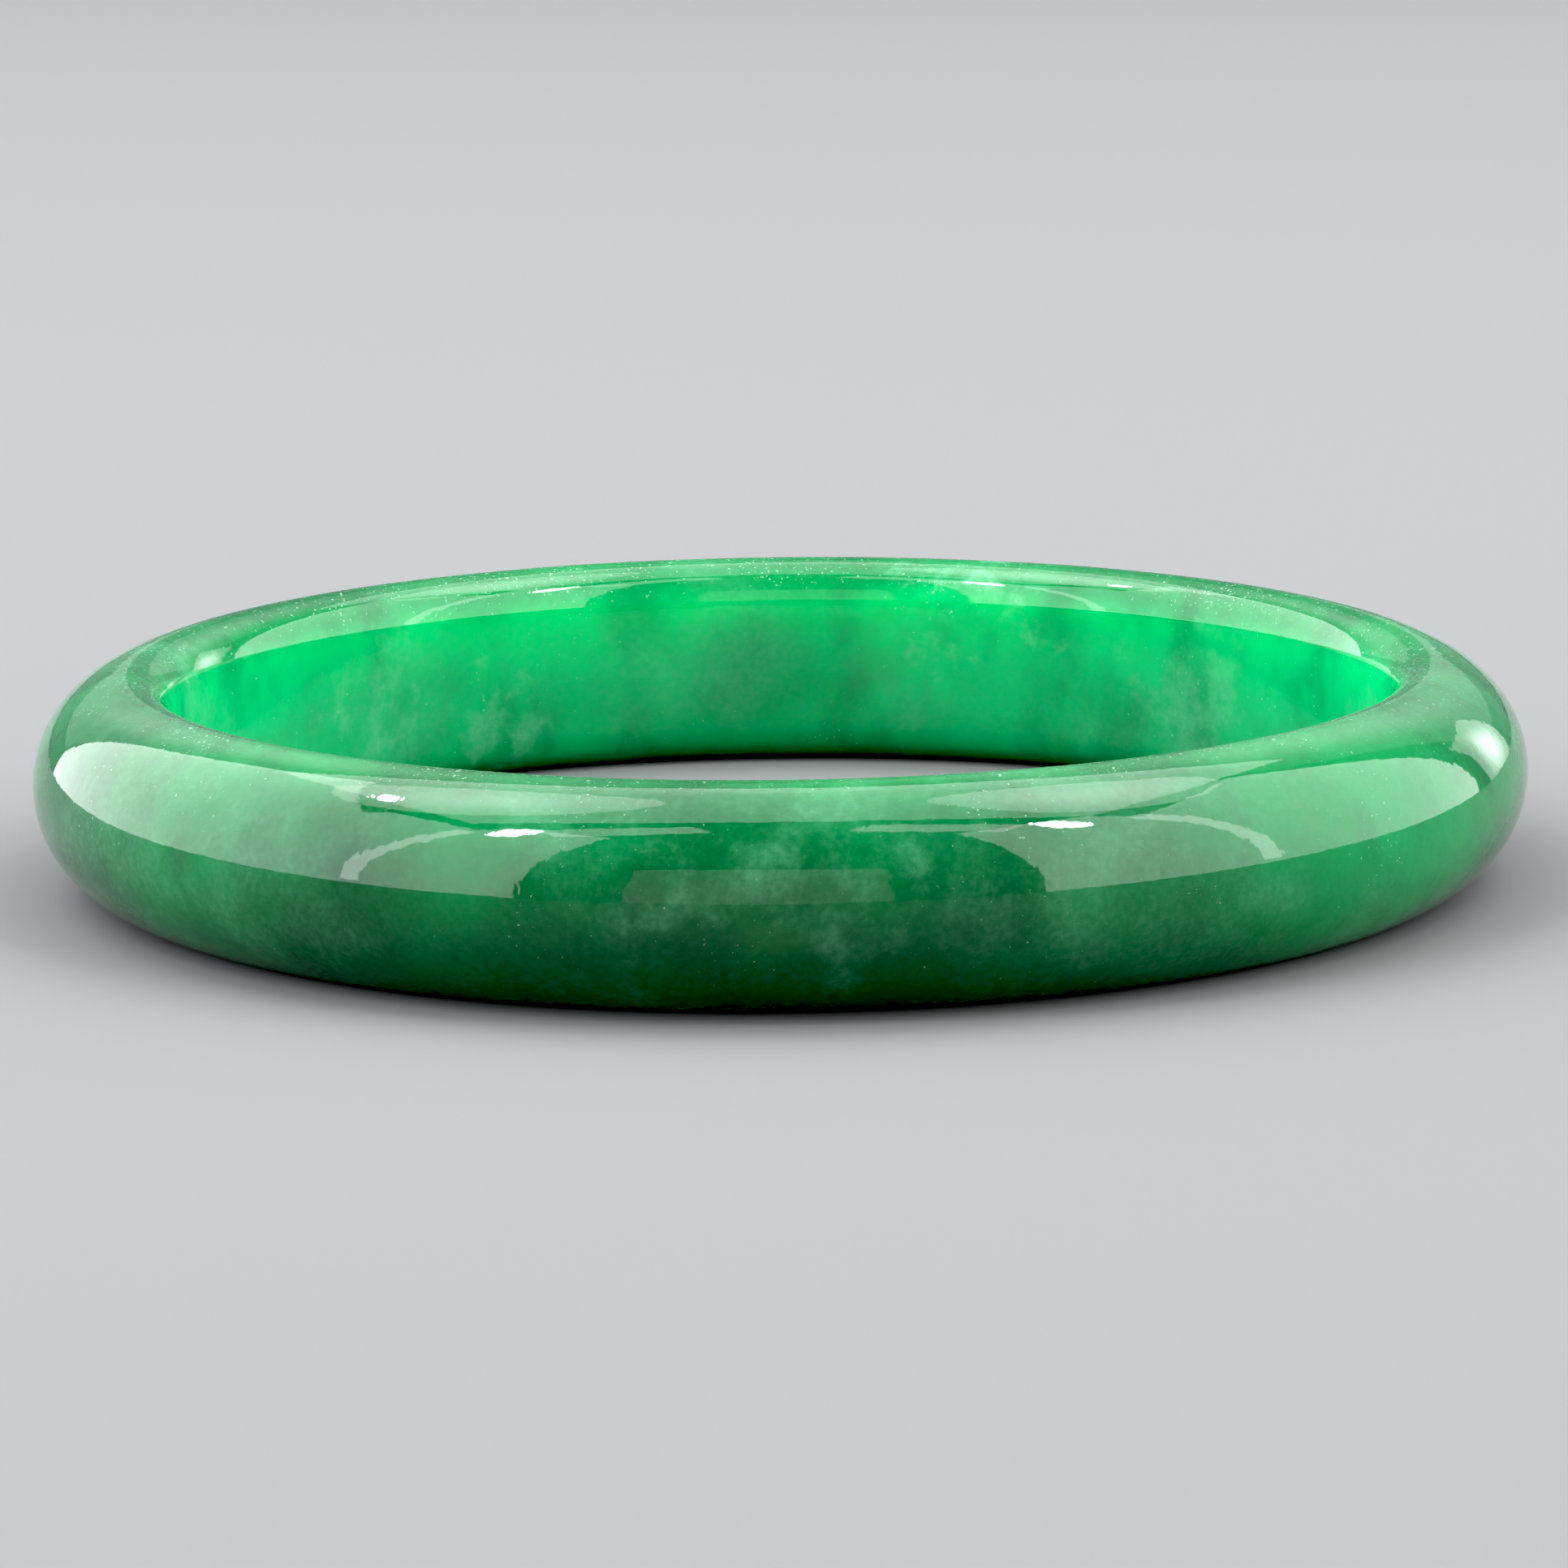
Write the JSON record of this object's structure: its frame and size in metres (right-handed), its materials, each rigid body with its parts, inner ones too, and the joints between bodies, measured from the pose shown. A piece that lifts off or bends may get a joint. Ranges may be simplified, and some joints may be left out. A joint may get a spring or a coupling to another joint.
{
  "type": "bangle bracelet",
  "caption": "Rigid closed ring bracelet of translucent green stone, straight polished bore inside and full round crown outside.",
  "frame": {"origin": "centre of the ring's base plane, on the ring's axis, where the lower edge rests", "axes": "+Z along the ring's axis, through the wrist opening; X and Y are alike, because the ring is round"},
  "size_m": [0.0686, 0.0686, 0.01],
  "materials": {
    "stone": "high polish"
  },
  "bodies": {
    "root": {"bangle_ring": "stone"}
  },
  "joints": []
}
